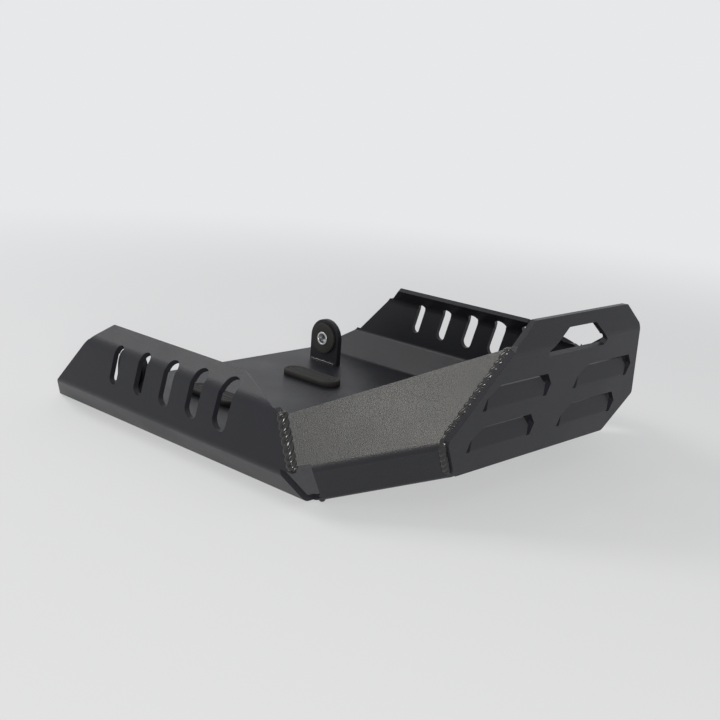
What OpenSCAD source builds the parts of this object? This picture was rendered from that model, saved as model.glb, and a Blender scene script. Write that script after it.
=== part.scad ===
/* [Sheet] */
// Thickness of the aluminium sheet
sheet_t = 4; // [3:0.5:5]
// Inside radius of the sharp folds
fold_r = 4; // [3:0.5:5]
// Inside radius of the soft fold above each side wall
lip_r = 10; // [6:1:12]
// Radius on the laser-cut outside corners
corner_r = 3; // [1:0.5:4]
// Gap left between two sheet edges for the weld
root_gap = 0.3; // [0.1:0.1:0.6]

/* [Tray] */
// Width over the two side walls
tray_w = 324; // [300:2:340]
// Length of the level floor
floor_l = 279; // [260:1:300]
// Height of the side walls, up to the corner of the soft fold
wall_h = 62; // [56:1:66]
// Height of the sloping strip between floor and wall
strip_h = 23; // [20:1:25]
// Slope of that strip above the floor
strip_angle = 45; // [42:1:48]
// Length of the lip above the soft fold
lip_l = 17; // [14:1:20]
// Lean of the lip from the wall
lip_angle = 40; // [30:1:45]
// Slope of the rear edge in the flat sheet
rear_cut = 45; // [40:1:50]
// Fall of the wall's front edge towards the seam
front_cut = 23; // [18:1:28]

/* [Side slots] */
// Number of slots in each side wall
slot_count = 5; // [3:1:5]
// Distance from slot to slot
slot_pitch = 29; // [26:0.5:30]
// Distance from the seam back to the foremost slot
slot_lead = 56; // [52:1:60]
// Width of the rearmost slot
slot_w = 8; // [6:0.5:9]
// Width that each slot gains over the one behind it
slot_w_step = 1.3; // [0.5:0.1:1.5]
// Length of the rearmost slot
slot_l = 31; // [28:0.5:34]
// Length that each slot gains over the one behind it
slot_l_step = 2.25; // [1:0.25:2.5]
// Height of the rearmost slot's middle
slot_z = 51.5; // [48:0.5:53]
// Rise of each slot's middle over the one behind it
slot_rise = 0.5; // [0:0.25:1]
// Forward lean of the slots
slot_lean = 16; // [10:1:20]

/* [Ramp] */
// Length of the ramp floor's underside, from its fold to the front plate
ramp_l = 67; // [60:1:74]
// Slope of the ramp floor
ramp_angle = 20; // [16:1:24]
// Sweep of the ramp's sides towards the front
sweep = 42; // [40:1:44]
// Slope of the strip between ramp floor and side panel
ramp_strip_angle = 40; // [36:1:45]
// Height of that strip above the ramp floor's underside
ramp_strip_h = 22; // [20:1:24]
// Lead of the side seam over the floor's fold, measured along the ramp
seam_lead = 17.5; // [14:0.5:20]
// Lead of the ramp strip's open end over the floor's fold
notch_lead = 7; // [5:0.5:9]
// Height of the seam's top on the side wall
seam_top = 59; // [52:1:60]
// Height of the side panel's front end, measured up the front plate
panel_top = 88; // [80:1:90]

/* [Front plate] */
// Lean of the plate from level
plate_lean = 72; // [68:1:76]
// Width that each cut shoulder takes off its top edge
plate_shoulder_w = 17; // [12:1:24]
// Height of the shoulders above the bottom edge
plate_shoulder_u = 89.5; // [86:0.5:94]
// Height of the top edge above the bottom edge
plate_top_u = 103.5; // [100:0.5:110]
// Height of the fold across the plate
plate_fold_u = 86; // [82:0.5:88]
// Angle of that fold
plate_fold = 20; // [14:1:24]
// Inside radius of that fold
plate_fold_r = 10; // [6:1:14]
// Height of the plate's bottom edge above the underside of the ramp floor
plate_lift = 3; // [1:0.5:4]
// Reach of the plate's edge beyond the side panel
plate_overhang = 2; // [1:0.5:3]
// Step from the face of the ramp strip in to the plate's lower edge
plate_inset = 2; // [1:0.5:3]

/* [Window] */
// Width of the window's bottom edge
window_foot_w = 62; // [50:1:70]
// Width of the window's top edge
window_top_w = 30; // [20:1:40]
// Height of the window's bottom edge on the plate
window_u = 78; // [76:0.5:80]
// Height of the window
window_h = 17.5; // [12:0.5:19]
// Width of the window where it is widest
window_wide_w = 66; // [64:1:74]
// Height of its widest line above its bottom edge
window_wide_h = 3.5; // [2:0.5:6]

/* [Louvres] */
// Metal left between a louvre and the plate's edge
louvre_edge = 7; // [5:0.5:12]
// Height of a louvre's cut
louvre_h = 17.5; // [15:0.5:20]
// Height of the lower row on the plate
louvre_u = 17; // [14:0.5:18]
// Distance from row to row
louvre_pitch = 30; // [27:0.5:31]
// Width of the plate left between the two columns
louvre_web = 30; // [26:1:36]
// Cut corner of a louvre
louvre_corner = 8.5; // [6:0.5:10]
// Width of the cut round a tongue
louvre_kerf = 3.5; // [2.5:0.5:4]
// Inward tilt of a tongue
louvre_tilt = 15; // [8:1:20]

/* [Floor] */
// Diameter of the oil drain hole
drain_d = 36; // [28:1:44]
// Distance of the drain hole behind the floor's fold
drain_back = 92; // [80:1:104]
// Length of the water slots
water_slot_l = 40; // [30:1:50]
// Width of the water slots
water_slot_w = 8; // [6:0.5:10]
// Distance of the water slots from the middle
water_slot_y = 60; // [50:1:66]

/* [Welds] */
// Radius of the weld ripples on the side seams
seam_bead_r = 4.2; // [3.6:0.1:4.6]
// Radius of the weld ripples round the front plate
edge_bead_r = 4.4; // [3.8:0.1:4.8]
// Radius of the weld under the front plate
foot_bead_r = 2.2; // [1.8:0.1:2.6]
// Length of each of the three stitches of that weld
foot_stitch_l = 24; // [16:1:30]
// Radius of the tack at each notch
tack_r = 2.4; // [2:0.1:2.8]
// Distance from ripple to ripple
bead_pitch = 4; // [3.5:0.25:5]
// Sink of the side seams' middle line under the outer faces
seam_sink = 2; // [1:0.25:2.5]

/* [Mounting ears] */
// Thickness of a mounting ear
ear_t = 5; // [4:0.5:6]
// Width of a mounting ear
ear_w = 34; // [30:1:40]
// Height of the ear's hole above its foot
ear_h = 22; // [20:1:28]
// Distance of the rear ears from the middle
rear_ear_y = 104; // [98:1:112]
// Distance of the rear ears from the floor's rear edge
rear_ear_x = 46; // [40:1:60]
// Distance of the front ears from the middle
front_ear_y = 50; // [40:1:54]
// Distance of the front ears up the ramp
front_ear_s = 34; // [30:1:38]
// Leg of the fillet weld at an ear's foot
ear_weld_leg = 3; // [2:0.5:4]

/* [Grommets] */
// Diameter of the grommet hole in an ear
grommet_hole_d = 18; // [16:0.5:20]
// Diameter of a grommet's flange
grommet_d = 27; // [25:0.5:29]
// Thickness of a grommet's flange
grommet_flange = 2.5; // [2:0.5:3]
// Outside diameter of the steel sleeve
sleeve_d = 12; // [11:0.5:13]
// Reach of the sleeve past each face of its grommet
sleeve_proud = 0.5; // [0:0.25:1]
// Bore of the steel sleeve
sleeve_bore = 8.5; // [8.2:0.1:9]

/* [Pads] */
// Length of a rubber pad
pad_l = 60; // [50:1:64]
// Distance of the front pads behind the floor's fold
front_pad_back = 36; // [35:1:38]
// Distance of the rear pads behind the floor's fold
rear_pad_back = 196; // [186:1:206]
// Width of a rubber pad
pad_w = 20; // [14:1:24]
// Thickness of a rubber pad
pad_t = 5; // [3:0.5:6]
// Distance of the pads from the middle
pad_y = 52; // [46:1:56]

/* [Hidden] */
$fn = 96;

powder_black = [0.17, 0.17, 0.18];
weld_black = [0.24, 0.24, 0.24];
rubber_black = [0.07, 0.07, 0.07];
zinc_grey = [0.72, 0.73, 0.75];

// Overshoot of a cutting shape past the sheet that it trims
past = 1;
// Steps in the curve of a fold
fold_steps = 8;
// Roundness of a weld ripple, and the thickness of the seam between ripples as a share of theirs
ripple_fn = 48;
ripple_core = 0.86;
// A length longer than any sheet
beyond = 600;

// Flat length from the sharp corner of a fold to where its curve starts
function setback(turn, r) = (r + sheet_t) * tan(turn / 2);
function unit(v) = v / norm(v);
function turned(v, a) = [v.x * cos(a) - v.y * sin(a), v.x * sin(a) + v.y * cos(a)];
function backwards(points) = [for (i = [len(points) - 1 : -1 : 0]) points[i]];
function flipped(points) = [for (p = backwards(points)) [p.x, -p.y]];

// Points of an outline with each corner rounded to its own radius
function rounded(points, radii, steps = 6) = [
  for (i = [0 : len(points) - 1])
    let (
      corner = points[i],
      back = unit(points[(i + len(points) - 1) % len(points)] - corner),
      ahead = unit(points[(i + 1) % len(points)] - corner),
      half = acos(back * ahead) / 2,
      centre = corner + unit(back + ahead) * radii[i] / sin(half),
      start = corner + back * radii[i] / tan(half) - centre,
      sweep_sign = cross(back, ahead) > 0 ? -1 : 1
    )
    each radii[i] == 0
      ? [corner]
      : [for (k = [0 : steps]) centre + turned(start, sweep_sign * (180 - 2 * half) * k / steps)]
];

// Points of a folded sheet's section at one depth in the sheet, from the first fold to the far end
function fold_line(runs, turns, radii, depth, i = 0, corner = [0, 0], heading = 0) =
  let (ahead = corner + turned([runs[i], 0], heading))
  i == len(turns)
    ? [ahead + turned([0, depth], heading)]
    : let (centre = ahead + turned([-setback(turns[i], radii[i]), radii[i] + sheet_t], heading))
      concat(
        [
          for (k = [0 : fold_steps])
            centre + turned([0, depth - radii[i] - sheet_t], heading + turns[i] * k / fold_steps)
        ],
        fold_line(runs, turns, radii, depth, i + 1, ahead, heading + turns[i])
      );

// Tray: the strip rises over its own width, the lip leans in from the wall
strip_reach = strip_h / tan(strip_angle);
strip_run = strip_h / sin(strip_angle);
tray_half = tray_w / 2;
floor_half = tray_half - strip_reach;
tray_runs = [floor_half, strip_run, wall_h - strip_h, lip_l];
tray_turns = [strip_angle, 90 - strip_angle, lip_angle];
tray_radii = [fold_r, fold_r, lip_r];
fold_back = setback(ramp_angle, fold_r);
notch_y = floor_half - setback(strip_angle, fold_r);
notch_z = strip_h + setback(90 - strip_angle, fold_r);

// Length along the flat sheet from the floor's edge to height z on the wall
function up_wall(z) = strip_run + z - strip_h;
// The rear edge of the flat sheet, that far up
function rear_edge(run) = -floor_l + run * tan(rear_cut);
// The seam's place at height z on the wall
function seam_x(z) = (seam_lead - z * sin(ramp_angle)) / cos(ramp_angle);
seam_end = seam_x(seam_top) - root_gap;
// The wall's front edge, falling towards the seam
function front_edge(run) = seam_end - (run - up_wall(seam_top)) / tan(front_cut);
lip_start = up_wall(wall_h);
lip_end = lip_start + lip_l;

// Width of the floor that is drawn together with the part folded up from it
floor_part = 2 * fold_r;

// Ramp: all its lengths are in its own tilted frame, along (s), across (y) and square to it (n)
ramp_strip_reach = ramp_strip_h / tan(ramp_strip_angle);
ramp_strip_run = ramp_strip_h / sin(ramp_strip_angle);
panel_turn = 90 - ramp_strip_angle;
panel_d = seam_lead * sin(sweep) + tray_half * cos(sweep);
ramp_corner_d = panel_d - ramp_strip_reach;
ramp_flat_d = ramp_corner_d - setback(ramp_strip_angle, fold_r);
ramp_runs = [floor_part, ramp_strip_run, panel_top];
ramp_turns = [ramp_strip_angle, panel_turn];
// Across at distance d out and s along, and the run along the sweep at both
function across(d, s) = (d - s * sin(sweep)) / cos(sweep);
function along(d, s) = (s - d * sin(sweep)) / cos(sweep);
strip_start = along(ramp_flat_d, notch_lead);
seam_start = along(panel_d, seam_lead);
seam_top_n = (seam_top - seam_lead * sin(ramp_angle)) / cos(ramp_angle);
seam_foot_n = (notch_z - seam_lead * sin(ramp_angle)) / cos(ramp_angle);
panel_foot_n = ramp_strip_h + setback(panel_turn, fold_r);

// Front plate: u runs up its rear face from the bottom edge
plate_on_ramp = plate_lean - ramp_angle;
plate_s = ramp_l + plate_lift / tan(plate_on_ramp);
plate_x = plate_s * cos(ramp_angle) - plate_lift * sin(ramp_angle);
plate_z = plate_s * sin(ramp_angle) + plate_lift * cos(ramp_angle);
function plate_su(u) = plate_s + u * cos(plate_on_ramp);
function plate_nu(u) = plate_lift + u * sin(plate_on_ramp);
// Half widths of the ramp's outer faces where they meet the plate
function panel_y(u, out = 0) = across(panel_d + out, plate_su(u));
function strip_y(u, out = 0) =
  across(ramp_corner_d + plate_nu(u) / tan(ramp_strip_angle) + out, plate_su(u));
function height_u(n) = (n - plate_lift) / sin(plate_on_ramp);
plate_wide_u = height_u((ramp_strip_reach + plate_overhang + plate_inset) * tan(ramp_strip_angle));
bend_u = height_u(ramp_strip_h);
panel_top_s = plate_su(panel_top);
panel_top_n = plate_nu(panel_top);
panel_top_along = along(panel_d, panel_top_s);
panel_rise = (panel_top_n - seam_top_n) / (panel_top_along - seam_start);

module mirrored(side) {
  if (side < 0) mirror([0, 1, 0]) children();
  else children();
}

// The model's own frame has its origin under the middle of the level floor
module placed() translate([floor_l / 2, 0, 0]) children();

module in_ramp() rotate([0, -ramp_angle, 0]) children();

module in_sweep() in_ramp() rotate([0, 0, -sweep]) children();

module in_plate() translate([plate_x, 0, plate_z]) rotate([0, -plate_lean, 0]) children();

// Section of a folded sheet with its outer face on y = 0, strip after strip
module folded(runs, turns, radii) {
  polygon(concat(
    [[0, sheet_t], [0, 0]],
    fold_line(runs, turns, radii, 0),
    backwards(fold_line(runs, turns, radii, sheet_t))
  ));
}

// A flat pattern laid on one strip of a folded sheet, thick enough to trim it
module trim() {
  translate([0, 0, -past])
    linear_extrude(sheet_t + 3 * past)
      children();
}

// A slot with round ends, standing along y
module slot_outline(width, length) {
  square([width, length - width], center = true);
  for (end = [-1, 1])
    translate([0, end * (length - width) / 2])
      circle(d = width);
}

// The side slots in the flat sheet, drawn from height `base` up
module side_slots(base) {
  for (i = [0 : slot_count - 1])
    translate([seam_x(slot_z) - slot_lead - slot_pitch * (slot_count - 1 - i), slot_z + slot_rise * i - base])
      rotate(-slot_lean)
        slot_outline(slot_w + slot_w_step * i, slot_l + slot_l_step * i);
}

module wall_pattern() {
  difference() {
    polygon([
      [rear_edge(strip_run), strip_h], [-fold_back, strip_h], [-fold_back, notch_z],
      [seam_x(notch_z) - root_gap, notch_z], [seam_end, seam_top],
      [front_edge(lip_start), wall_h], [rear_edge(lip_start), wall_h]
    ]);
    side_slots(0);
  }
}

module lip_pattern() {
  difference() {
    polygon(rounded(
      [
        [rear_edge(lip_start), 0], [front_edge(lip_start), 0],
        [front_edge(lip_end), lip_l], [rear_edge(lip_end), lip_l]
      ],
      [0, 0, corner_r, corner_r]
    ));
    side_slots(wall_h);
  }
}

module tray_side() {
  intersection() {
    translate([-floor_l, 0, 0])
      rotate([90, 0, 90])
        linear_extrude(floor_l + seam_lead)
          folded(tray_runs, tray_turns, tray_radii);
    union() {
      trim()
        polygon([[-floor_l, 0], [-fold_back, 0], [-fold_back, floor_half], [-floor_l, floor_half]]);
      translate([0, floor_half, 0])
        rotate([strip_angle, 0, 0])
          trim()
            polygon([
              [rear_edge(0), 0], [-fold_back, 0], [-fold_back, strip_run], [rear_edge(strip_run), strip_run]
            ]);
      translate([0, tray_half, 0])
        rotate([90, 0, 0])
          trim() wall_pattern();
      translate([0, tray_half, wall_h])
        rotate([90 + lip_angle, 0, 0])
          trim() lip_pattern();
    }
  }
}

module ramp_pattern() {
  side = [
    [0, notch_y], [fold_back, notch_y], [notch_lead, across(ramp_flat_d, notch_lead)],
    [plate_s + sheet_t, across(ramp_flat_d, plate_s + sheet_t)]
  ];
  polygon(concat(side, flipped(side)));
}

// The ramp's floor and the fold at its foot, between the two notches
module ramp_floor() {
  intersection() {
    translate([-floor_part, panel_d, 0])
      rotate([90, 0, 0])
        linear_extrude(2 * panel_d)
          folded([floor_part, plate_s + sheet_t], [ramp_angle], [fold_r]);
    union() {
      trim()
        polygon([[-floor_part, -notch_y], [0, -notch_y], [0, notch_y], [-floor_part, notch_y]]);
      in_ramp()
        trim() ramp_pattern();
    }
  }
}

module ramp_side() {
  far = panel_top_along + plate_inset + sheet_t;
  in_sweep()
    intersection() {
      translate([seam_start, ramp_corner_d - floor_part, 0])
        rotate([90, 0, 90])
          linear_extrude(far - seam_start)
            folded(ramp_runs, ramp_turns, [fold_r, fold_r]);
      union() {
        translate([0, ramp_corner_d, 0])
          trim()
            polygon([
              [strip_start, -floor_part], [far, -floor_part], [far, 0], [strip_start, 0]
            ]);
        translate([0, ramp_corner_d, 0])
          rotate([ramp_strip_angle, 0, 0])
            trim()
              polygon([[strip_start, 0], [far, 0], [far, ramp_strip_run], [strip_start, ramp_strip_run]]);
        translate([0, panel_d, 0])
          rotate([90, 0, 0])
            trim()
              polygon([
                [strip_start, ramp_strip_h], [far, ramp_strip_h],
                [far, seam_top_n + panel_rise * (far - seam_start)], [seam_start, seam_top_n],
                [seam_start, panel_foot_n], [strip_start, panel_foot_n]
              ]);
      }
    }
}

// All that lies in front of the front plate's rear face, folded as the plate is
module before_plate() {
  in_plate()
    translate([0, beyond / 2, -sheet_t])
      rotate([90, 0, 0])
        linear_extrude(beyond)
          polygon(concat(
            [[-beyond, -beyond], [-beyond, sheet_t]],
            fold_line([plate_fold_u, beyond], [plate_fold], [plate_fold_r], sheet_t),
            [[2 * beyond, -beyond]]
          ));
}

module pan() {
  color(powder_black)
    difference() {
      union() {
        for (side = [-1, 1])
          mirrored(side) {
            tray_side();
            ramp_side();
          }
        ramp_floor();
      }
      before_plate();
      translate([-drain_back, 0, -past])
        cylinder(d = drain_d, h = sheet_t + 2 * past);
      for (side = [-1, 1])
        translate([-drain_back, side * water_slot_y, -past])
          linear_extrude(sheet_t + 2 * past)
            rotate(90)
              slot_outline(water_slot_w, water_slot_l);
    }
}

// Front plate outline in u and y; the edge runs on straight across the fold
lower_side = [
  [0, strip_y(0, -plate_inset)], [plate_wide_u, panel_y(plate_wide_u, plate_overhang)],
  [plate_fold_u, panel_y(plate_fold_u, plate_overhang)]
];
upper_side = [
  [0, panel_y(plate_fold_u, plate_overhang)],
  [plate_shoulder_u - plate_fold_u, panel_y(plate_shoulder_u, plate_overhang)],
  [plate_top_u - plate_fold_u, panel_y(plate_shoulder_u, plate_overhang) - plate_shoulder_w]
];
window_side = [
  [window_u, window_foot_w / 2], [window_u + window_wide_h, window_wide_w / 2],
  [window_u + window_h, window_top_w / 2]
];
window_outline = rounded(concat(window_side, flipped(window_side)), [for (i = [1 : 6]) corner_r / 2]);
louvre_cut_u = louvre_u + louvre_pitch + louvre_h - louvre_corner;
louvre_w = panel_y(louvre_cut_u, plate_overhang) - louvre_edge - louvre_web / 2;
louvre_y = (louvre_web + louvre_w) / 2;

function louvre_outline(width, height, corner) = [
  [0, -width / 2], [height - corner, -width / 2], [height, corner - width / 2],
  [height, width / 2 - corner], [height - corner, width / 2], [0, width / 2]
];

// Runs its children at each of the four louvres
module at_louvres() {
  for (row = [0, 1], side = [-1, 1])
    translate([louvre_u + louvre_pitch * row, side * louvre_y, 0])
      children();
}

module plate_section() {
  translate([0, panel_d, -sheet_t])
    rotate([90, 0, 0])
      linear_extrude(2 * panel_d)
        folded([plate_fold_u, plate_top_u - plate_fold_u], [plate_fold], [plate_fold_r]);
}

module lower_pattern() {
  difference() {
    polygon(rounded(concat(lower_side, flipped(lower_side)), [corner_r, corner_r, 0, 0, corner_r, corner_r]));
    polygon(window_outline);
    at_louvres() polygon(louvre_outline(louvre_w, louvre_h, louvre_corner));
  }
}

module upper_pattern() {
  difference() {
    polygon(rounded(concat(upper_side, flipped(upper_side)), [0, corner_r, corner_r, corner_r, corner_r, 0]));
    translate([-plate_fold_u, 0])
      polygon(window_outline);
  }
}

// Tongue of a louvre, bent inward from its cut's bottom edge
module tongue() {
  width = louvre_w - 2 * louvre_kerf;
  root = setback(louvre_tilt, fold_r);
  height = louvre_h - louvre_kerf - root;
  corner = louvre_corner - louvre_kerf * (2 - sqrt(2));
  translate([0, 0, -sheet_t])
    intersection() {
      translate([-past, width / 2, 0])
        rotate([90, 0, 0])
          linear_extrude(width)
            folded([past + root, height], [louvre_tilt], [fold_r]);
      union() {
        translate([0, 0, -past])
          linear_extrude(sheet_t + 3 * past)
            polygon([[-past, -width / 2], [root, -width / 2], [root, width / 2], [-past, width / 2]]);
        translate([root, 0, 0])
          rotate([0, -louvre_tilt, 0])
            translate([-root, 0, -past])
              linear_extrude(sheet_t + 3 * past)
                polygon(louvre_outline(width, height + root, corner));
      }
    }
}

module front_plate() {
  color(powder_black)
    in_plate() {
      intersection() {
        plate_section();
        union() {
          translate([0, 0, -sheet_t - past])
            linear_extrude(sheet_t + 3 * past)
              lower_pattern();
          translate([plate_fold_u, 0, -sheet_t])
            rotate([0, -plate_fold, 0])
              translate([0, 0, -past])
                linear_extrude(sheet_t + 3 * past)
                  upper_pattern();
        }
      }
      at_louvres() tongue();
    }
}

// A weld from one point to the next, laid as a row of overlapping ripples
module bead(from, to, r, first = 0) {
  run = to - from;
  count = max(1, round(norm(run) / bead_pitch));
  for (i = [first : count])
    translate(from + run * i / count)
      sphere(r, $fn = ripple_fn);
  translate(from)
    rotate([0, acos(run.z / norm(run)), atan2(run.y, run.x)])
      cylinder(h = norm(run), r = r * ripple_core);
}

// The room inside the outer faces of wall and side panel, seen along the seam
module seam_room() {
  reach = 4 * seam_bead_r;
  ahead = [cos(sweep), -sin(sweep)];
  corner = [seam_lead, tray_half];
  translate([0, 0, seam_foot_n - reach])
    linear_extrude(seam_top_n - seam_foot_n + 2 * reach)
      polygon([
        corner, corner - [reach, 0], corner - [reach, reach],
        corner + ahead * reach - [0, reach], corner + ahead * reach
      ]);
}

module side_weld(side) {
  sunk = [seam_lead - seam_sink * sin(sweep / 2), tray_half - seam_sink * cos(sweep / 2)];
  foot = seam_foot_n + seam_bead_r;
  top = seam_top_n - seam_bead_r;
  color(weld_black)
    mirrored(side)
      in_ramp()
        difference() {
          bead([sunk.x, sunk.y, foot], [sunk.x, sunk.y, top], seam_bead_r);
          seam_room();
        }
}

// The room inside the ramp's outer faces on one side
module channel_room() {
  translate([strip_start, ramp_corner_d - floor_part, 0])
    rotate([90, 0, 90])
      linear_extrude(beyond / 2)
        polygon(concat(
          [[0, ramp_strip_h + panel_top], [0, 0]],
          fold_line(ramp_runs, ramp_turns, [fold_r, fold_r], 0)
        ));
}

// The room above the ramp floor's underside that the floor and the strip take near the notch
module tack_room() {
  reach = 3 * tack_r;
  corner = [notch_lead, across(ramp_flat_d, notch_lead)];
  linear_extrude(reach)
    polygon([
      corner + reach * unit([fold_back, notch_y] - corner), corner, corner + reach * [sin(sweep), cos(sweep)],
      corner + [2 * reach, 0], corner - [0, 2 * reach]
    ]);
}

// Tack on the underside where the notch runs out on the floor
module corner_tack(side) {
  rise = sheet_t / 4;
  color(weld_black)
    mirrored(side)
      difference() {
        in_ramp()
          translate([notch_lead, across(ramp_flat_d, notch_lead), rise])
            sphere(tack_r);
        in_ramp() tack_room();
      }
}

// The room that the front plate's flat part takes, holes and all
module plate_room() {
  translate([0, 0, -sheet_t])
    linear_extrude(sheet_t)
      polygon(rounded(concat(lower_side, flipped(lower_side)), [corner_r, corner_r, 0, 0, corner_r, corner_r]));
}

module edge_weld(side) {
  behind = edge_bead_r - sheet_t;
  foot = [bead_pitch, strip_y(bead_pitch, -plate_inset / 2), behind];
  turn = [bend_u, panel_y(bend_u, -plate_inset / 2), behind];
  top = [panel_top - edge_bead_r, panel_y(panel_top - edge_bead_r), behind];
  color(weld_black)
    mirrored(side) {
      difference() {
        in_plate() bead(foot, turn, edge_bead_r);
        in_plate() plate_room();
        difference() {
          in_sweep() channel_room();
          before_plate();
        }
      }
      difference() {
        in_plate() bead(turn, top, edge_bead_r, 1);
        before_plate();
        in_sweep() channel_room();
      }
    }
}

// Three stitches between the ramp floor's end and the front plate's bottom edge
module foot_weld() {
  outer = strip_y(0, -plate_inset) - 2 * corner_r - foot_stitch_l / 2;
  sink = foot_bead_r / 2;
  color(weld_black)
    difference() {
      in_plate()
        for (middle = [-1, 0, 1])
          bead(
            [-sink, middle * outer - foot_stitch_l / 2, -sink],
            [-sink, middle * outer + foot_stitch_l / 2, -sink],
            foot_bead_r
          );
      in_plate()
        translate([0, -beyond / 2, -sheet_t])
          cube([beyond, beyond, beyond]);
      difference() {
        in_ramp()
          translate([0, -beyond / 2, 0])
            cube([beyond, beyond, sheet_t]);
        before_plate();
      }
    }
}

module at_rear_ear(side)
  translate([rear_ear_x - floor_l, side * rear_ear_y, sheet_t]) children();

module at_front_ear(side)
  in_ramp() translate([front_ear_s, side * front_ear_y, sheet_t]) children();

// Ear with its foot on z = 0 and the hole's axis along y
module ear() {
  color(powder_black)
    rotate([90, 0, 0])
      difference() {
        linear_extrude(ear_t, center = true)
          union() {
            translate([-ear_w / 2, 0])
              square([ear_w, ear_h]);
            translate([0, ear_h])
              circle(d = ear_w);
          }
        translate([0, ear_h, -ear_t])
          cylinder(d = grommet_hole_d, h = 2 * ear_t);
      }
}

module ear_weld() {
  color(weld_black)
    for (face = [-1, 1])
      mirrored(face)
        translate([-ear_w / 2, ear_t / 2, 0])
          rotate([90, 0, 90])
            linear_extrude(ear_w)
              polygon([[0, 0], [ear_weld_leg, 0], [0, ear_weld_leg]]);
}

// Rubber grommet: a flange on each face of the ear and a barrel through its hole
module grommet() {
  lead = grommet_flange / 3;
  outer = ear_t / 2 + grommet_flange;
  color(rubber_black)
    translate([0, 0, ear_h])
      rotate([90, 0, 0])
        rotate_extrude()
          polygon([
            [sleeve_d / 2, -outer], [grommet_d / 2 - lead, -outer], [grommet_d / 2, lead - outer],
            [grommet_d / 2, -ear_t / 2], [grommet_hole_d / 2, -ear_t / 2],
            [grommet_hole_d / 2, ear_t / 2], [grommet_d / 2, ear_t / 2],
            [grommet_d / 2, outer - lead], [grommet_d / 2 - lead, outer], [sleeve_d / 2, outer]
          ]);
}

module sleeve() {
  length = ear_t + 2 * grommet_flange + 2 * sleeve_proud;
  color(zinc_grey)
    translate([0, 0, ear_h])
      rotate([90, 0, 0])
        difference() {
          cylinder(d = sleeve_d, h = length, center = true);
          cylinder(d = sleeve_bore, h = length + 2 * past, center = true);
        }
}

module pad(back, side) {
  color(rubber_black)
    translate([-back, side * pad_y, sheet_t])
      linear_extrude(pad_t)
        rotate(90)
          slot_outline(pad_w, pad_l);
}

placed() pan();
placed() front_plate();
placed() side_weld(1);  // side_weld_left
placed() side_weld(-1);  // side_weld_right
placed() corner_tack(1);  // corner_tack_left
placed() corner_tack(-1);  // corner_tack_right
placed() edge_weld(1);  // edge_weld_left
placed() edge_weld(-1);  // edge_weld_right
placed() foot_weld();
placed() at_rear_ear(1) ear();  // rear_ear_left
placed() at_rear_ear(-1) ear();  // rear_ear_right
placed() at_front_ear(1) ear();  // front_ear_left
placed() at_front_ear(-1) ear();  // front_ear_right
placed() at_rear_ear(1) ear_weld();  // rear_ear_weld_left
placed() at_rear_ear(-1) ear_weld();  // rear_ear_weld_right
placed() at_front_ear(1) ear_weld();  // front_ear_weld_left
placed() at_front_ear(-1) ear_weld();  // front_ear_weld_right
placed() at_rear_ear(1) grommet();  // rear_grommet_left
placed() at_rear_ear(-1) grommet();  // rear_grommet_right
placed() at_front_ear(1) grommet();  // front_grommet_left
placed() at_front_ear(-1) grommet();  // front_grommet_right
placed() at_rear_ear(1) sleeve();  // rear_sleeve_left
placed() at_rear_ear(-1) sleeve();  // rear_sleeve_right
placed() at_front_ear(1) sleeve();  // front_sleeve_left
placed() at_front_ear(-1) sleeve();  // front_sleeve_right
placed() pad(rear_pad_back, 1);  // rear_pad_left
placed() pad(rear_pad_back, -1);  // rear_pad_right
placed() pad(front_pad_back, 1);  // front_pad_left
placed() pad(front_pad_back, -1);  // front_pad_right
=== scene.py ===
import math

import bmesh
import bpy
import numpy as np
from mathutils import Matrix, Vector


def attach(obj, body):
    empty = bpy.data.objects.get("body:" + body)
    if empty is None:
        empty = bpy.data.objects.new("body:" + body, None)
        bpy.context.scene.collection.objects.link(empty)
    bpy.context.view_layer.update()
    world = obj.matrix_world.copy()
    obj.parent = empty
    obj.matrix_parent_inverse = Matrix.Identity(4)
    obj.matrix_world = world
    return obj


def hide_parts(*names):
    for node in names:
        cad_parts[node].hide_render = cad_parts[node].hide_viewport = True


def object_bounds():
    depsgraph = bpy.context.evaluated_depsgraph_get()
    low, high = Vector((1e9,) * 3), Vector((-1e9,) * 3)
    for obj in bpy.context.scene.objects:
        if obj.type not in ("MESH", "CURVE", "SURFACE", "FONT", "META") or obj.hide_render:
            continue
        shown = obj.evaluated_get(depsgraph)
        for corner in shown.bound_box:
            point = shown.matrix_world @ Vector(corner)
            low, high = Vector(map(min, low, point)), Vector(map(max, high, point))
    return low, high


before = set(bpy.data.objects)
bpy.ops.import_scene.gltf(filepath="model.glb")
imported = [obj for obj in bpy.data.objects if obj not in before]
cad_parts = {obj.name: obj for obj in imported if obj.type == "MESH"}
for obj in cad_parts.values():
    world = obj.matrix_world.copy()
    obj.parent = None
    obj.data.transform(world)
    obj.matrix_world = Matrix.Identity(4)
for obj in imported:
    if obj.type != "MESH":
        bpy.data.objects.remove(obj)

cad_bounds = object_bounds()
floor_z = cad_bounds[0][2]


# Camera: low beside the front right corner, looking back along the plate, and rolled a little
# as the photograph is.
camera_place = Vector((0.6063, -0.6032, 0.2592))
camera_heading = math.radians(132.88)
camera_pitch = math.radians(-14.19)
camera_roll = math.radians(4.18)
camera_lens = 56.9
camera_sensor = 36
camera_far = 60

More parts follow.
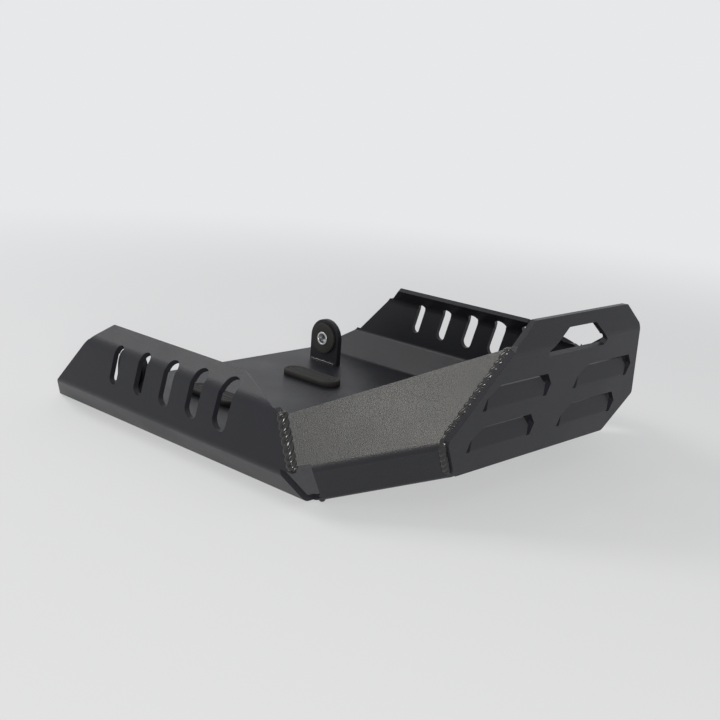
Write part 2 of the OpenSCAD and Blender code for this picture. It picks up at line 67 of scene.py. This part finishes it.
camera_view = Vector((
    math.cos(camera_pitch) * math.cos(camera_heading),
    math.cos(camera_pitch) * math.sin(camera_heading),
    math.sin(camera_pitch),
))
camera = bpy.data.objects.new("camera", bpy.data.cameras.new("camera"))
camera.data.lens = camera_lens
camera.data.sensor_width = camera_sensor
camera.data.clip_end = camera_far
camera.matrix_world = (
    Matrix.Translation(camera_place)
    @ camera_view.to_track_quat("-Z", "Y").to_matrix().to_4x4()
    @ Matrix.Rotation(camera_roll, 4, "Z")
)
bpy.context.scene.collection.objects.link(camera)
bpy.context.scene.camera = camera
bpy.context.scene.view_settings.view_transform = "Standard"


# Studio: a round pale floor that fades into a backdrop of the same colour, under an even sky,
# with one large soft lamp behind the camera and one over the rear of the plate. Seen from below
# the floor is clear, so that the underside shows.
backdrop_colour = (0.799, 0.807, 0.823, 1.0)
# The first paper throws light back at the part. The second is what shows: it keeps the shadow,
# and a glow brings it up to the backdrop's level.
floor_colour = (0.45, 0.453, 0.46, 1.0)
seen_floor_colour = (0.30, 0.302, 0.307, 1.0)
floor_glow = 0.52
floor_radius = 20.0
floor_corners = 48
# The floor lies this far below the part, so that the two share no plane.
floor_gap = 0.0001
# Distances from the middle between which the floor turns into the backdrop.
floor_fade = (0.40, 1.25)
sky_colour = (1, 1, 1, 1)
sky_strength = 0.42


def add_mesh(name, points, faces, smooth=True):
    """Makes a mesh object at the origin from an array of points and a list of faces."""
    mesh = bpy.data.meshes.new(name)
    mesh.from_pydata(points.tolist(), [], faces)
    mesh.update()
    mesh.polygons.foreach_set("use_smooth", [smooth] * len(mesh.polygons))
    made = bpy.data.objects.new(name, mesh)
    bpy.context.scene.collection.objects.link(made)
    return made


def new_material(name):
    """An empty node material and its tree."""
    material = bpy.data.materials.new(name)
    material.use_nodes = True
    material.node_tree.nodes.clear()
    return material, material.node_tree


def add_node(tree, kind, settings=None, **inputs):
    """Adds a node, sets its properties and its named inputs, and links an input given as a
    socket."""
    node = tree.nodes.new(kind)
    for key, value in (settings or {}).items():
        setattr(node, key, value)
    for key, value in inputs.items():
        socket = node.inputs[key.replace("_", " ")]
        if isinstance(value, bpy.types.NodeSocket):
            tree.links.new(value, socket)
        else:
            socket.default_value = value
    return node


def seen_rays(tree):
    """1 where the camera, a glossy surface or a clear one looks, 0 for the light that falls: the
    greatest of the three ray switches."""
    rays = add_node(tree, "ShaderNodeLightPath")
    first = add_node(tree, "ShaderNodeMath", {"operation": "MAXIMUM"})
    second = add_node(tree, "ShaderNodeMath", {"operation": "MAXIMUM"})
    tree.links.new(rays.outputs["Is Camera Ray"], first.inputs[0])
    tree.links.new(rays.outputs["Is Glossy Ray"], first.inputs[1])
    tree.links.new(first.outputs[0], second.inputs[0])
    tree.links.new(rays.outputs["Is Transmission Ray"], second.inputs[1])
    return second.outputs[0]


def mixed(tree, share, first, second):
    """The output of two shaders mixed by a share of the second."""
    mix = add_node(tree, "ShaderNodeMixShader", Fac=share)
    tree.links.new(first, mix.inputs[1])
    tree.links.new(second, mix.inputs[2])
    return mix.outputs[0]


round_angle = np.linspace(0, 2 * np.pi, floor_corners, endpoint=False)
rim = np.stack([np.cos(round_angle), np.sin(round_angle), np.zeros(floor_corners)], axis=1)
floor_points = rim * floor_radius + [0, 0, floor_z - floor_gap]
floor = add_mesh("floor", floor_points, [range(floor_corners)], smooth=False)
floor_material, tree = new_material("floor_paper")
surface_place = add_node(tree, "ShaderNodeNewGeometry")
far = add_node(tree, "ShaderNodeVectorMath", {"operation": "LENGTH"})
tree.links.new(surface_place.outputs["Position"], far.inputs[0])
fade = add_node(tree, "ShaderNodeMapRange", {"interpolation_type": "SMOOTHSTEP"},
                Value=far.outputs["Value"], From_Min=floor_fade[0], From_Max=floor_fade[1])
paper = add_node(tree, "ShaderNodeBsdfDiffuse", Color=floor_colour)
seen_paper = add_node(tree, "ShaderNodeBsdfDiffuse", Color=seen_floor_colour)
near_glow = add_node(tree, "ShaderNodeEmission", Color=backdrop_colour, Strength=floor_glow)
far_glow = add_node(tree, "ShaderNodeEmission", Color=backdrop_colour, Strength=1.0)
lit = add_node(tree, "ShaderNodeAddShader")
tree.links.new(seen_paper.outputs[0], lit.inputs[0])
tree.links.new(near_glow.outputs[0], lit.inputs[1])
seen_floor = mixed(tree, fade.outputs["Result"], lit.outputs[0], far_glow.outputs[0])
top_of_floor = mixed(tree, seen_rays(tree), paper.outputs[0], seen_floor)
clear = add_node(tree, "ShaderNodeBsdfTransparent")
floor_surface = mixed(tree, surface_place.outputs["Backfacing"], top_of_floor, clear.outputs[0])
add_node(tree, "ShaderNodeOutputMaterial", Surface=floor_surface)
floor.data.materials.append(floor_material)

world = bpy.data.worlds.new("sky")
bpy.context.scene.world = world
world.use_nodes = True
tree = world.node_tree
tree.nodes.clear()
sky = add_node(tree, "ShaderNodeBackground", Color=sky_colour, Strength=sky_strength)
backdrop = add_node(tree, "ShaderNodeBackground", Color=backdrop_colour, Strength=1.0)
add_node(tree, "ShaderNodeOutputWorld",
         Surface=mixed(tree, seen_rays(tree), sky.outputs[0], backdrop.outputs[0]))


def add_softbox(name, place, aim, size, power, colour):
    """A square area lamp at one place, turned to aim at another."""
    lamp = bpy.data.objects.new(name, bpy.data.lights.new(name, "AREA"))
    lamp.data.shape = "SQUARE"
    lamp.data.size = size
    lamp.data.energy = power
    lamp.data.color = colour
    turn = (Vector(aim) - Vector(place)).to_track_quat("-Z", "Y")
    lamp.matrix_world = Matrix.Translation(place) @ turn.to_matrix().to_4x4()
    bpy.context.scene.collection.objects.link(lamp)


add_softbox("front_softbox", place=(1.60, -1.42, 0.40), aim=(0.15, -0.1, 0.05),
            size=0.7, power=60, colour=(1.0, 0.98, 0.88))
add_softbox("rear_softbox", place=(-1.1, -0.75, 1.25), aim=(-0.05, -0.15, 0.06),
            size=0.8, power=16.5, colour=(1.0, 0.99, 0.97))


# Powder coat: a baked-on black polyester, satin, with a fine grain that shows where a lamp
# strikes it squarely. Its colour and its gloss wander slowly.
coat_blacks = ((0.0085, 0.0088, 0.0120, 1.0), (0.0110, 0.0114, 0.0150, 1.0))
coat_roughness = (0.35, 0.43)
coat_specular = 0.21
grain_size = 0.00065
grain_depth = 0.00018
grain_detail = 2.5
grain_roughness = 0.6
cloud_scale = 22.0
cloud_detail = 3.0
# Values of the cloud's noise between which a colour or a gloss goes from one end to the other.
cloud_range = (0.3, 0.7)


def grain_group():
    """Shader group of two layers of noise: the first, at the given grain size, is a height, and
    the second, much coarser, is a slow cloud."""
    group = bpy.data.node_groups.new("coat_grain", "ShaderNodeTree")
    group.interface.new_socket("Vector", in_out="INPUT", socket_type="NodeSocketVector")
    group.interface.new_socket("Size", in_out="INPUT", socket_type="NodeSocketFloat")
    group.interface.new_socket("Height", in_out="OUTPUT", socket_type="NodeSocketFloat")
    group.interface.new_socket("Cloud", in_out="OUTPUT", socket_type="NodeSocketFloat")
    entry = group.nodes.new("NodeGroupInput")
    leave = group.nodes.new("NodeGroupOutput")
    per_metre = add_node(group, "ShaderNodeMath", {"operation": "DIVIDE"})
    per_metre.inputs[0].default_value = 1.0
    group.links.new(entry.outputs["Size"], per_metre.inputs[1])
    fine = add_node(group, "ShaderNodeTexNoise", Vector=entry.outputs["Vector"],
                    Scale=per_metre.outputs[0], Detail=grain_detail, Roughness=grain_roughness)
    coarse = add_node(group, "ShaderNodeTexNoise", Vector=entry.outputs["Vector"],
                      Scale=cloud_scale, Detail=cloud_detail)
    group.links.new(fine.outputs["Fac"], leave.inputs["Height"])
    group.links.new(coarse.outputs["Fac"], leave.inputs["Cloud"])
    return group


coat_grain = grain_group()


def add_group(tree, group, vector, **values):
    """Places a shader group in a material with its own values."""
    node = tree.nodes.new("ShaderNodeGroup")
    node.node_tree = group
    tree.links.new(vector, node.inputs["Vector"])
    for key, value in values.items():
        node.inputs[key].default_value = value
    return node


def grained_material(name, colours, roughness, size, depth, specular, metallic=0.0):
    """Principled shader over the grain group. The grain's height feeds the bump, and its cloud
    moves the colour and the roughness between two values each."""
    material, tree = new_material(name)
    place = add_node(tree, "ShaderNodeTexCoord").outputs["Object"]
    grain = add_group(tree, coat_grain, place, Size=size)
    cloud = add_node(tree, "ShaderNodeMapRange", Value=grain.outputs["Cloud"],
                     From_Min=cloud_range[0], From_Max=cloud_range[1])
    gloss = add_node(tree, "ShaderNodeMapRange", Value=cloud.outputs["Result"],
                     To_Min=roughness[0], To_Max=roughness[1])
    tint = add_node(tree, "ShaderNodeValToRGB", Fac=cloud.outputs["Result"])
    tint.color_ramp.elements[0].color = colours[0]
    tint.color_ramp.elements[1].color = colours[1]
    bump = add_node(tree, "ShaderNodeBump", Height=grain.outputs["Height"],
                    Strength=1.0, Distance=depth)
    surface = add_node(tree, "ShaderNodeBsdfPrincipled", Base_Color=tint.outputs["Color"],
                       Metallic=metallic, Roughness=gloss.outputs["Result"],
                       Normal=bump.outputs["Normal"], Specular_IOR_Level=specular)
    add_node(tree, "ShaderNodeOutputMaterial", Surface=surface.outputs[0])
    return material


powder_coat = grained_material("powder_coat", coat_blacks, coat_roughness,
                               grain_size, grain_depth, coat_specular)


# Pan and front plate: laser-cut 4 mm aluminium, folded on a press brake and powder coated, with
# edges that are all but sharp.
sheet_thick = 0.004
edge_round = 0.0005
edge_segments = 2
edge_profile = 0.5
# An edge is rounded above the first angle, and faces within the second are joined as one flat.
edge_angle = math.radians(30)
flat_angle = math.radians(0.3)
merge_gap = 2e-7
# A face wider than this is a flat, and faces within the angle blend into each other.
flat_width = 0.0019
blend_angle = math.radians(42)
# Guards against a length of nothing, and a rank below every cosine.
least_length = 1e-9
least_normal = 1e-12
no_rank = -2


def smooth_round_flats(mesh):
    """Gives each corner of a face its normal. Of the faces that meet there within the blend
    angle, the nearest broad flat one sets the normal, and where none is flat their mean by area
    does. Broad faces stay flat, and the narrow ones of folds and rounded edges turn smoothly
    between them. A face's width is twice its area over its outline's length."""
    count, corners = len(mesh.polygons), len(mesh.loops)
    face_normal = np.empty(count * 3)
    area = np.empty(count)
    start = np.empty(count, int)
    total = np.empty(count, int)
    vertex = np.empty(corners, int)
    points = np.empty(len(mesh.vertices) * 3)
    mesh.polygons.foreach_get("normal", face_normal)
    mesh.polygons.foreach_get("area", area)
    mesh.polygons.foreach_get("loop_start", start)
    mesh.polygons.foreach_get("loop_total", total)
    mesh.loops.foreach_get("vertex_index", vertex)
    mesh.vertices.foreach_get("co", points)
    face_normal, points = face_normal.reshape(-1, 3), points.reshape(-1, 3)
    face = np.repeat(np.arange(count), total)
    following = np.arange(corners) + 1
    following[start + total - 1] = start
    edge = np.linalg.norm(points[vertex[following]] - points[vertex], axis=1)
    width = 2 * area / np.maximum(np.bincount(face, edge, count), least_length)
    flat = width > flat_width

    order = np.argsort(vertex, kind="stable")
    meeting = np.bincount(vertex, minlength=len(points))
    first = np.concatenate([[0], np.cumsum(meeting)[:-1]])
    slots = np.arange(meeting.max())
    reach = np.minimum(first[vertex][:, None] + slots, corners - 1)
    other = face[order[reach]]
    near = np.einsum("ck,cjk->cj", face_normal[face], face_normal[other])
    near[slots >= meeting[vertex][:, None]] = no_rank
    blended = near > math.cos(blend_angle)
    rank = np.where(blended & flat[other], near, no_rank)
    best = np.argmax(rank, axis=1)
    rows = np.arange(corners)
    mean = np.einsum("cj,cjk->ck", blended * area[other], face_normal[other])
    has_flat = rank[rows, best] > no_rank
    normal = np.where(has_flat[:, None], face_normal[other[rows, best]], mean)
    normal /= np.maximum(np.linalg.norm(normal, axis=1), least_normal)[:, None]
    mesh.normals_split_custom_set(normal.tolist())


def eased(node, name):
    """A copy of a node's own surface, merged, its flat faces joined and its sharp edges rounded,
    with faces of more than four corners cut into triangles. The clamp shrinks the rounding of a
    whole piece to what its closest edges leave room for: the ears get all of it, the front plate
    some hundredths of a millimetre and the pan nothing that shows."""
    mesh = bpy.data.meshes.new(name)
    shape = bmesh.new()
    shape.from_mesh(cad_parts[node].data)
    bmesh.ops.remove_doubles(shape, verts=shape.verts, dist=merge_gap)
    bmesh.ops.dissolve_limit(shape, angle_limit=flat_angle, verts=shape.verts, edges=shape.edges)
    sharp = [
        edge for edge in shape.edges
        if edge.is_manifold and edge.calc_face_angle() > edge_angle
    ]
    bmesh.ops.bevel(shape, geom=sharp, offset=edge_round, offset_type="OFFSET",
                    segments=edge_segments, profile=edge_profile, affect="EDGES",
                    clamp_overlap=True, loop_slide=True)
    bmesh.ops.triangulate(shape, faces=[f for f in shape.faces if len(f.verts) > 4])
    for face in shape.faces:
        face.smooth = True
    shape.to_mesh(mesh)
    shape.free()
    mesh.materials.append(powder_coat)
    smooth_round_flats(mesh)
    piece = bpy.data.objects.new(name, mesh)
    bpy.context.scene.collection.objects.link(piece)
    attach(piece, "root")
    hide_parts(node)


for node in ("pan", "front_plate"):
    eased(node, "coated_" + node)


# Weld beads: aluminium filler laid by hand along the side seams and round the front plate, each
# pool overlapping the last. The coat lies smoother on them than on the sheet and shines more.
weld_blacks = ((0.010, 0.010, 0.011, 1.0), (0.014, 0.014, 0.015, 1.0))
weld_coat = grained_material("weld_coat", weld_blacks, roughness=(0.15, 0.21),
                             size=0.0016, depth=0.00003, specular=0.4)
# The ramp's slope, the angle by which its sides sweep in, and the front plate's lean.
ramp = math.radians(20)
sweep = math.radians(42)
plate_lean = math.radians(72)
plate_on_ramp = plate_lean - ramp
# Half the pan's width, the place of the fold at the ramp's foot, and the ramp's length.
half_width = 0.162
fold_x = 0.1395
ramp_length = 0.067
# The seam between wall and side panel: how far past the fold, how deep, and from where to where.
seam_lead = 0.0175
seam_sink = 0.002
seam_foot, seam_top = 0.0256, 0.0568
# The front plate's foot above the ramp, the slanted strips beside it, and the panels' top.
plate_lift = 0.003
strip_height = 0.022
strip_slope = math.radians(40)
panel_top = 0.088

panel_reach = seam_lead * math.sin(sweep) + half_width * math.cos(sweep)
corner_reach = panel_reach - strip_height / math.tan(strip_slope)
plate_foot = ramp_length + plate_lift / math.tan(plate_on_ramp)
strip_top = (strip_height - plate_lift) / math.sin(plate_on_ramp)
plate_back = np.array([-math.sin(plate_lean), 0, math.cos(plate_lean)])
hands = ((1, "left"), (-1, "right"))


def ramp_point(along, across, up):
    """A point given along, across and square to the ramp's underside, from the fold at its
    foot."""
    return np.array([
        fold_x + along * math.cos(ramp) - up * math.sin(ramp),
        across,
        along * math.sin(ramp) + up * math.cos(ramp),
    ])


def plate_point(up, inside, behind):
    """A point on the front plate's edge, at a height up the plate and a distance inside the faces
    of the ramp's side; behind is the distance off the plate's rear face."""
    along = plate_foot + up * math.cos(plate_on_ramp)
    height = plate_lift + up * math.sin(plate_on_ramp)
    reach = min(corner_reach + height / math.tan(strip_slope), panel_reach) - inside
    across = (reach - along * math.sin(sweep)) / math.cos(sweep)
    return ramp_point(along, across, height) + behind * plate_back


# A bead's grid: rows to a pool, points across it, and places averaged to round a path's corner.
rows_per_pool = 16
points_across = 37
corner_samples = 9
# How far a pool strays along the bead, in pools, and the size of the smallest.
pool_stray = 0.20
smallest_pool = 0.88
# A pool's form: how much its front bows, how far back it is highest, how full it is, and how
# quickly the dips run out towards the bead's rims.
pool_bow = 0.25
pool_skew = 0.75
pool_fullness = 0.9
rim_power = 6


def bead(points, outward, radius, spread, lean, depth=0.26, pitch=0.004, turn=0.006, seed=1):
    """A weld bead's points and faces. A path with rounded corners carries a section that faces
    outward, from minus to plus the spread, and a flat face joins its rims. The section's radius
    is the bead's, times the pool's size, times 1 less a dip between one pool and the next: the
    dip is 1 less the sine of the part of the pool that is passed. The pools lean across the bead,
    so that it looks like a rope. At both ends the radius falls to nothing as on a ball."""
    points = np.array(points, float)
    outward = np.array(outward, float)
    lengths = np.linalg.norm(np.diff(points, axis=0), axis=1)
    knots = np.concatenate([[0], np.cumsum(lengths)])
    total = knots[-1]
    pools = max(2, round(total / pitch))
    reach = np.linspace(0, 1, pools * rows_per_pool + 1) * total
    soft = np.linspace(-turn, turn, corner_samples)

    def followed(values):
        """Values along the path, each the mean over the places within a turn of it."""
        return np.mean([
            [np.interp(reach + s, knots, values[:, k]) for k in range(3)] for s in soft
        ], axis=0).T

    centre = followed(points)
    facing = followed(outward)
    centre[0], centre[-1] = points[0], points[-1]
    ahead = np.gradient(centre, axis=0)
    ahead /= np.linalg.norm(ahead, axis=1)[:, None]
    facing -= ahead * np.sum(facing * ahead, axis=1)[:, None]
    facing /= np.linalg.norm(facing, axis=1)[:, None]
    side = np.cross(ahead, facing)

    draw = np.random.default_rng(seed)
    angle = np.linspace(-spread, spread, points_across)
    pool = np.arange(pools + 2)
    passed = reach / pitch
    stray = np.interp(passed, pool, draw.uniform(-pool_stray, pool_stray, pools + 2))
    size = np.interp(passed, pool, draw.uniform(smallest_pool, 1.0, pools + 2))
    across = angle / spread
    phase = (passed + stray)[:, None] + lean * (across + pool_bow * across**2)
    part = phase - np.floor(phase)
    hump = np.sin(np.pi * part**pool_skew) ** pool_fullness
    end = np.clip(np.minimum(reach, total - reach) / radius, 0, 1)
    taper = np.sqrt(1 - (1 - end) ** 2)
    size_here = radius * size * taper
    section = size_here[:, None] * (1 - depth * (1 - hump) * (1 - across**rim_power))
    skin = (
        centre[:, None, :]
        + section[:, :, None] * (
            np.cos(angle)[None, :, None] * facing[:, None, :]
            + np.sin(angle)[None, :, None] * side[:, None, :]
        )
    )
    rows, columns = skin.shape[:2]
    index = np.arange(rows * columns).reshape(rows, columns)
    beside = np.roll(index, -1, axis=1)
    faces = np.stack([index[:-1], beside[:-1], beside[1:], index[1:]], axis=-1).reshape(-1, 4)
    return skin.reshape(-1, 3), faces


# Points nearer than this are one.
surface_merge = 1e-7


def closed_piece(name, surfaces, node, material):
    """One object from a list of surfaces, each as points and faces, its seams and ends merged."""
    offsets = np.cumsum([0] + [len(points) for points, faces in surfaces[:-1]])
    points = np.concatenate([points for points, faces in surfaces])
    faces = np.concatenate([faces + offset for (_, faces), offset in zip(surfaces, offsets)])
    piece = add_mesh(name, points, faces.tolist())
    shape = bmesh.new()
    shape.from_mesh(piece.data)
    bmesh.ops.remove_doubles(shape, verts=shape.verts, dist=surface_merge)
    bmesh.ops.recalc_face_normals(shape, faces=shape.faces)
    shape.to_mesh(piece.data)
    shape.free()
    piece.data.materials.append(material)
    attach(piece, "root")
    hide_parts(node)


def mirrored(points, side):
    """The same points on the left (1) or the right (-1) of the plate."""
    return [np.array(p) * [1, side, 1] for p in points]


ramp_up = np.array([-math.sin(ramp), 0, math.cos(ramp)])
panel_normal = ramp_point(math.sin(sweep), math.cos(sweep), 0) - ramp_point(0, 0, 0)
wall_normal = np.array([0, 1, 0])
strip_normal = panel_normal * math.sin(strip_slope) - math.cos(strip_slope) * ramp_up
seam_radius = 0.0042
seam_lean = 0.85
seam_form = {"spread": math.radians(89), "depth": 0.30, "pitch": 0.0048, "seed": 3}
seam_line = (
    seam_lead - seam_sink * math.sin(sweep / 2),
    half_width - seam_sink * math.cos(sweep / 2),
)
seam_path = [
    ramp_point(*seam_line, seam_foot - seam_radius),
    ramp_point(*seam_line, seam_top + seam_radius),
]
seam_facing = [panel_normal + wall_normal] * 2
# The bead round the front plate: height up the plate, distance inside the ramp's side and
# distance off the plate's rear face at the foot, the strip's top and the panel's top, and how
# much the bead turns rearward at each.
rim_lean = 0.7
rim_form = {"radius": 0.0035, "spread": math.radians(88), "depth": 0.22, "pitch": 0.0050, "seed": 5}
rim_path = [
    plate_point(0.0005, 0.0008, 0.0012),
    plate_point(strip_top, 0.0008, 0.0018),
    plate_point(panel_top - 0.001, 0.0004, 0.0018),
]
rim_facing = [
    strip_normal + 0.15 * plate_back,
    panel_normal + 0.3 * plate_back,
    panel_normal + plate_back,
]
for side, hand in hands:
    surface = bead(mirrored(seam_path, side), mirrored(seam_facing, side), seam_radius,
                   lean=seam_lean * side, **seam_form)
    closed_piece("seam_bead_" + hand, [surface], "side_weld_" + hand, weld_coat)
    surface = bead(mirrored(rim_path, side), mirrored(rim_facing, side),
                   lean=rim_lean * side, **rim_form)
    closed_piece("edge_bead_" + hand, [surface], "edge_weld_" + hand, weld_coat)


# Corner tacks: a single pool of filler at the lower end of each open notch, where the floor's
# corner and the ramp's meet. It stands a little below the underside.
tack_place = (0.007, 0.1323, 0.0010)
tack_radius = 0.0024
tack_form = {"spread": math.radians(175), "lean": 0.0, "depth": 0.12, "turn": 0.0, "seed": 2}
tack_run = tack_radius * np.array([math.sin(sweep), math.cos(sweep), 0])
tack_path = [ramp_point(*(np.array(tack_place) + run)) for run in (-tack_run, tack_run)]
ramp_down = ramp_point(0, 0, -1) - ramp_point(0, 0, 0)
for side, hand in hands:
    surface = bead(mirrored(tack_path, side), mirrored([ramp_down] * 2, side), tack_radius,
                   **tack_form)
    closed_piece("tack_pool_" + hand, [surface], "corner_tack_" + hand, weld_coat)


# Foot stitches: three short beads on the underside, where the front plate's lower edge stands on
# the end of the ramp floor.
stitch_length = 0.024
stitch_places = (-0.0638, 0, 0.0638)
stitch_line = plate_point(0.0002, 0, 0.0008)
stitch_facing = ramp_down - 0.5 * plate_back
stitch_form = {"radius": 0.0015, "spread": math.radians(89), "lean": 0.8, "seed": 7}
stitches = []
for middle in stitch_places:
    ends = [
        np.array([stitch_line[0], middle + end * stitch_length / 2, stitch_line[2]])
        for end in (-1, 1)
    ]
    stitches.append(bead(ends, [stitch_facing] * 2, **stitch_form))
closed_piece("foot_stitches", stitches, "foot_weld", weld_coat)


# Mounting ears: 5 mm plates with a round head, cut, coated and welded upright on the floor and
# the ramp, with a bead along both faces of the foot.
ear_thick = 0.005
ear_half_width = 0.017
ear_hole_height = 0.022
ear_places = {"rear": (-0.0935, 0.104), "front": (0.034, 0.050)}
ear_bead_form = {"radius": 0.0026, "spread": math.radians(60), "lean": 0.7}
ear_bead_seed = 11


def ear_points(end, side, local):
    """Points given along, across and square to the sheet from the middle of an ear's foot, set in
    the model: the rear ears stand on the level floor and the front ones on the ramp."""
    along, across = ear_places[end]
    local = np.asarray(local, float) + [along, 0, sheet_thick]
    local[..., 1] = side * across + local[..., 1]
    if end == "rear":
        return local
    return np.stack(ramp_point(local[..., 0], local[..., 1], local[..., 2]), axis=-1)


for end in ear_places:
    for side, hand in hands:
        eased(f"{end}_ear_{hand}", f"coated_{end}_ear_{hand}")
        foot_beads = []
        for face in (-1, 1):
            foot = [(run * ear_half_width, face * ear_thick / 2, 0) for run in (-1, 1)]
            out, foot_middle = ear_points(end, side, [(0, face, 1), (0, 0, 0)])
            foot_beads.append(bead(ear_points(end, side, foot), [out - foot_middle] * 2,
                                   seed=ear_bead_seed + face, **ear_bead_form))
        closed_piece(f"{end}_ear_beads_{hand}", foot_beads,
                     f"{end}_ear_weld_{hand}", weld_coat)


# Grommets: moulded black rubber, a flange on each face of the ear and a barrel through its hole,
# with the faint bloom that new rubber has. Sleeves: zinc-plated steel tube pressed through them.
rubber_blacks = ((0.012, 0.012, 0.012, 1.0), (0.030, 0.029, 0.028, 1.0))
rubber = grained_material("black_rubber", rubber_blacks, roughness=(0.62, 0.78),
                          size=0.0007, depth=0.00003, specular=0.21)
zinc_greys = ((0.50, 0.51, 0.53, 1.0), (0.66, 0.66, 0.65, 1.0))
zinc = grained_material("zinc_steel", zinc_greys, roughness=(0.26, 0.38),
                        size=0.0005, depth=0.00001, specular=0.21, metallic=1.0)
grommet_radius = 0.0135
grommet_flange = 0.0025
grommet_neck = 0.009
grommet_soft = 0.0007
sleeve_radius = 0.006
sleeve_bore = 0.00425
sleeve_proud = 0.0005
sleeve_soft = 0.0003


def softened(outline, radius, steps=5):
    """A closed outline whose corners are rounded: each is replaced by a curve between the points
    that lie one radius from it on both sides. With t the way along, those points weigh the
    square of 1 - t and the square of t, and the corner weighs the rest."""
    outline = np.array(outline, float)
    before = np.roll(outline, 1, axis=0) - outline
    after = np.roll(outline, -1, axis=0) - outline
    near = [
        outline + step / np.linalg.norm(step, axis=1)[:, None] * radius
        for step in (before, after)
    ]
    way = np.linspace(0, 1, steps)[None, :, None]
    curve = (
        near[0][:, None] * (1 - way) ** 2
        + outline[:, None] * 2 * way * (1 - way)
        + near[1][:, None] * way**2
    )
    return curve.reshape(-1, 2)


def turned(end, side, outline, count=72):
    """Points and faces of a closed outline turned round the axis of an ear's hole: each point of
    the outline is a radius and a place along the axis, and goes round at that radius."""
    angle = np.linspace(0, 2 * np.pi, count, endpoint=False)[:, None]
    radius, place = outline[:, 0][None], outline[:, 1][None]
    local = np.stack([
        radius * np.cos(angle),
        place + 0 * angle,
        ear_hole_height + radius * np.sin(angle),
    ], axis=-1)
    index = np.arange(local.shape[0] * local.shape[1]).reshape(local.shape[:2])
    next_row, next_column = np.roll(index, -1, axis=0), np.roll(index, -1, axis=1)
    both = np.roll(next_row, -1, axis=1)
    faces = np.stack([index, next_row, both, next_column], axis=-1).reshape(-1, 4)
    return ear_points(end, side, local).reshape(-1, 3), faces


face_place = ear_thick / 2
grommet_outer = face_place + grommet_flange
grommet_outline = softened([
    (sleeve_radius, -grommet_outer), (grommet_radius, -grommet_outer),
    (grommet_radius, -face_place), (grommet_neck, -face_place),
    (grommet_neck, face_place), (grommet_radius, face_place),
    (grommet_radius, grommet_outer), (sleeve_radius, grommet_outer),
], grommet_soft)
sleeve_outer = grommet_outer + sleeve_proud
sleeve_outline = softened([
    (sleeve_bore, -sleeve_outer), (sleeve_radius, -sleeve_outer),
    (sleeve_radius, sleeve_outer), (sleeve_bore, sleeve_outer),
], sleeve_soft)
for end in ear_places:
    for side, hand in hands:
        closed_piece(f"{end}_flanged_grommet_{hand}", [turned(end, side, grommet_outline)],
                     f"{end}_grommet_{hand}", rubber)
        closed_piece(f"{end}_steel_sleeve_{hand}", [turned(end, side, sleeve_outline)],
                     f"{end}_sleeve_{hand}", zinc)


# Rubber pads: four moulded strips with round ends, glued to the floor. Two shallow grooves run
# round the top of each.
pad_half_width = 0.010
pad_half_run = 0.020
pad_across = 0.052
pad_middles = {"rear": -0.0565, "front": 0.1035}
# Inset from the pad's outline and height over the floor, from the foot to the middle of the top.
pad_profile = np.array([
    (0.0, 0.0), (0.0, 0.0040), (0.0003, 0.0046), (0.0009, 0.0050),
    (0.0030, 0.0050), (0.0034, 0.0046), (0.0042, 0.0046), (0.0046, 0.0050),
    (0.0064, 0.0050), (0.0068, 0.0046), (0.0076, 0.0046), (0.0080, 0.0050),
    (0.0100, 0.0050),
])


def pad_surface(middle, across, count=96):
    """Points and faces of a pad: its profile is carried round a track with straight sides and
    round ends. Round the track, a point lies at half the pad's width less its inset from the
    middle of the end that it belongs to. A flat underside closes the pad."""
    angle = np.linspace(0, 2 * np.pi, count, endpoint=False)[:, None]
    inset = np.concatenate([[pad_half_width], pad_profile[:, 0]])[None]
    height = np.concatenate([[0], pad_profile[:, 1]])[None]
    radius = pad_half_width - inset
    points = np.stack([
        middle + np.sign(np.cos(angle)) * pad_half_run + radius * np.cos(angle),
        across + radius * np.sin(angle),
        sheet_thick + height + 0 * angle,
    ], axis=-1)
    index = np.arange(points.shape[0] * points.shape[1]).reshape(points.shape[:2])
    after = np.roll(index, -1, axis=0)
    faces = np.stack([index[:, :-1], after[:, :-1], after[:, 1:], index[:, 1:]], axis=-1)
    return points.reshape(-1, 3), faces.reshape(-1, 4)


for end, middle in pad_middles.items():
    for side, hand in hands:
        closed_piece(f"{end}_rubber_strip_{hand}", [pad_surface(middle, side * pad_across)],
                     f"{end}_pad_{hand}", rubber)
